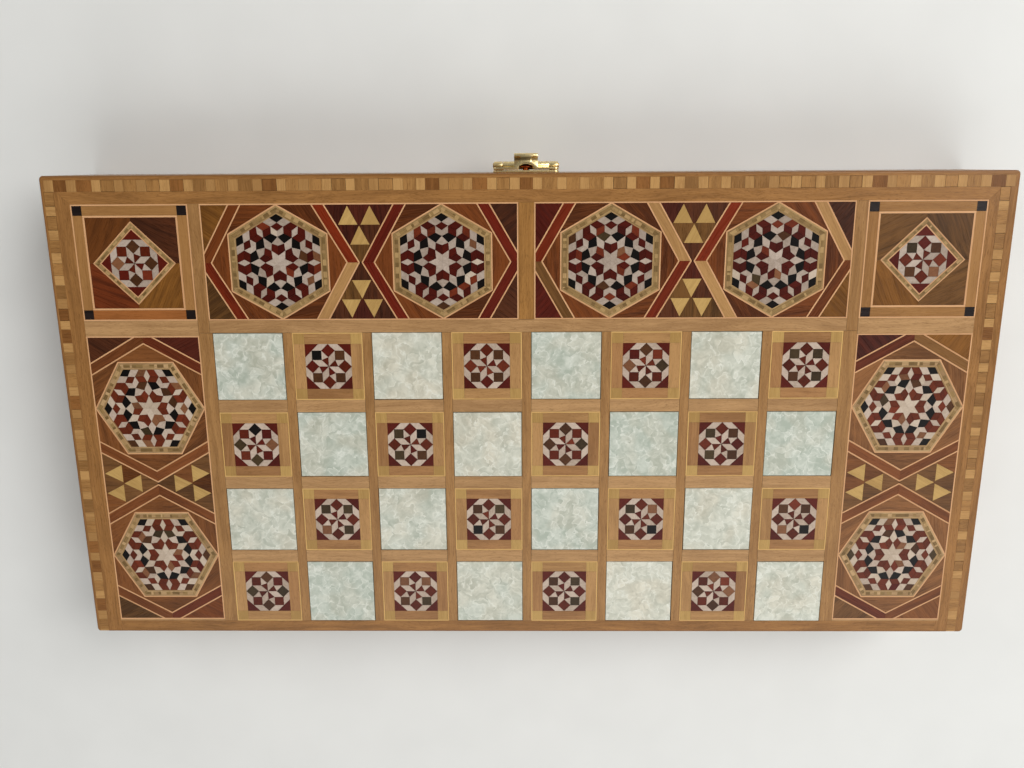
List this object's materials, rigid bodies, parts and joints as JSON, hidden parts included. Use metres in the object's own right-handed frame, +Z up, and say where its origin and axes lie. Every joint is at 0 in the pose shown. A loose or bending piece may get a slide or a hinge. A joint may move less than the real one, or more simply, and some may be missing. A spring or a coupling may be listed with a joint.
{
  "type": "backgammon board",
  "caption": "Folding inlaid wooden backgammon box with a chess pattern outside, two hinges and a brass clasp.",
  "frame": {"origin": "centre of the closed box's underside", "axes": "+X along the hinge line, +Y from the clasp edge towards the hinges, +Z up, square to the closed box's faces"},
  "size_m": [0.492, 0.2666, 0.06],
  "materials": {
    "beech": "oiled satin",
    "beech_strip": "lacquered",
    "plywood": "raw",
    "maple": "lacquered",
    "mahogany": "lacquered",
    "walnut": "lacquered",
    "light_block": "lacquered",
    "dark_block": "lacquered",
    "pearl": "polished pearl",
    "rose_band": "lacquered",
    "gold_wood": "lacquered",
    "rosette": "polished marquetry",
    "rosewood": "lacquered",
    "red_band": "lacquered",
    "olive_band": "lacquered",
    "star": "polished marquetry",
    "tan_band": "lacquered",
    "ebony": "lacquered",
    "brass": "polished",
    "fittings": "polished"
  },
  "bodies": {
    "base": {"base_front_rail": "beech", "base_back_rail": "beech", "base_left_rail": "beech", "base_right_rail": "beech", "base_panel": "plywood", "base_field_board": "walnut", "base_light_points": "maple", "base_dark_points": "mahogany", "base_light_blocks": "light_block", "base_dark_blocks": "dark_block", "base_long_strips": "beech_strip", "base_cross_strips": "beech_strip", "base_pearl_squares": "pearl", "base_cell_frames": "rose_band", "base_cell_blocks": "gold_wood", "base_rosette_tiles": "rosette", "base_panel_grounds": "rosewood", "base_chevron_bands": "red_band", "base_medallion_frames": "olive_band", "base_star_hexagons": "star", "base_gold_triangles": "gold_wood", "base_corner_frames": "tan_band", "base_ebony_blocks": "ebony", "base_hinge_leaves": "brass", "hinge_pins": "fittings", "base_hinge_screws": "fittings", "clasp_leaf": "brass", "clasp_pin": "fittings", "base_clasp_screws": "fittings"},
    "lid": {"lid_front_rail": "beech", "lid_back_rail": "beech", "lid_left_rail": "beech", "lid_right_rail": "beech", "lid_panel": "plywood", "lid_field_board": "walnut", "lid_light_points": "maple", "lid_dark_points": "mahogany", "lid_light_blocks": "light_block", "lid_dark_blocks": "dark_block", "lid_long_strips": "beech_strip", "lid_cross_strips": "beech_strip", "lid_pearl_squares": "pearl", "lid_cell_frames": "rose_band", "lid_cell_blocks": "gold_wood", "lid_rosette_tiles": "rosette", "lid_panel_grounds": "rosewood", "lid_chevron_bands": "red_band", "lid_medallion_frames": "olive_band", "lid_star_hexagons": "star", "lid_gold_triangles": "gold_wood", "lid_corner_frames": "tan_band", "lid_ebony_blocks": "ebony", "lid_hinge_leaves": "brass", "lid_hinge_screws": "fittings", "clasp_keeper_plate": "brass", "clasp_stud": "fittings", "lid_clasp_screws": "fittings"},
    "hasp": {"clasp_hasp": "brass"}
  },
  "joints": [
    {"name": "lid_hinge", "type": "hinge", "parent": "base", "child": "lid", "pos_m": [0, 0.1272, 0.03], "axis": [-1, 0, 0], "range_deg": [0, 180]},
    {"name": "hasp_pivot", "type": "hinge", "parent": "base", "child": "hasp", "pos_m": [0, -0.1306, 0.0276], "axis": [1, 0, 0], "range_deg": [0, 120]}
  ]
}
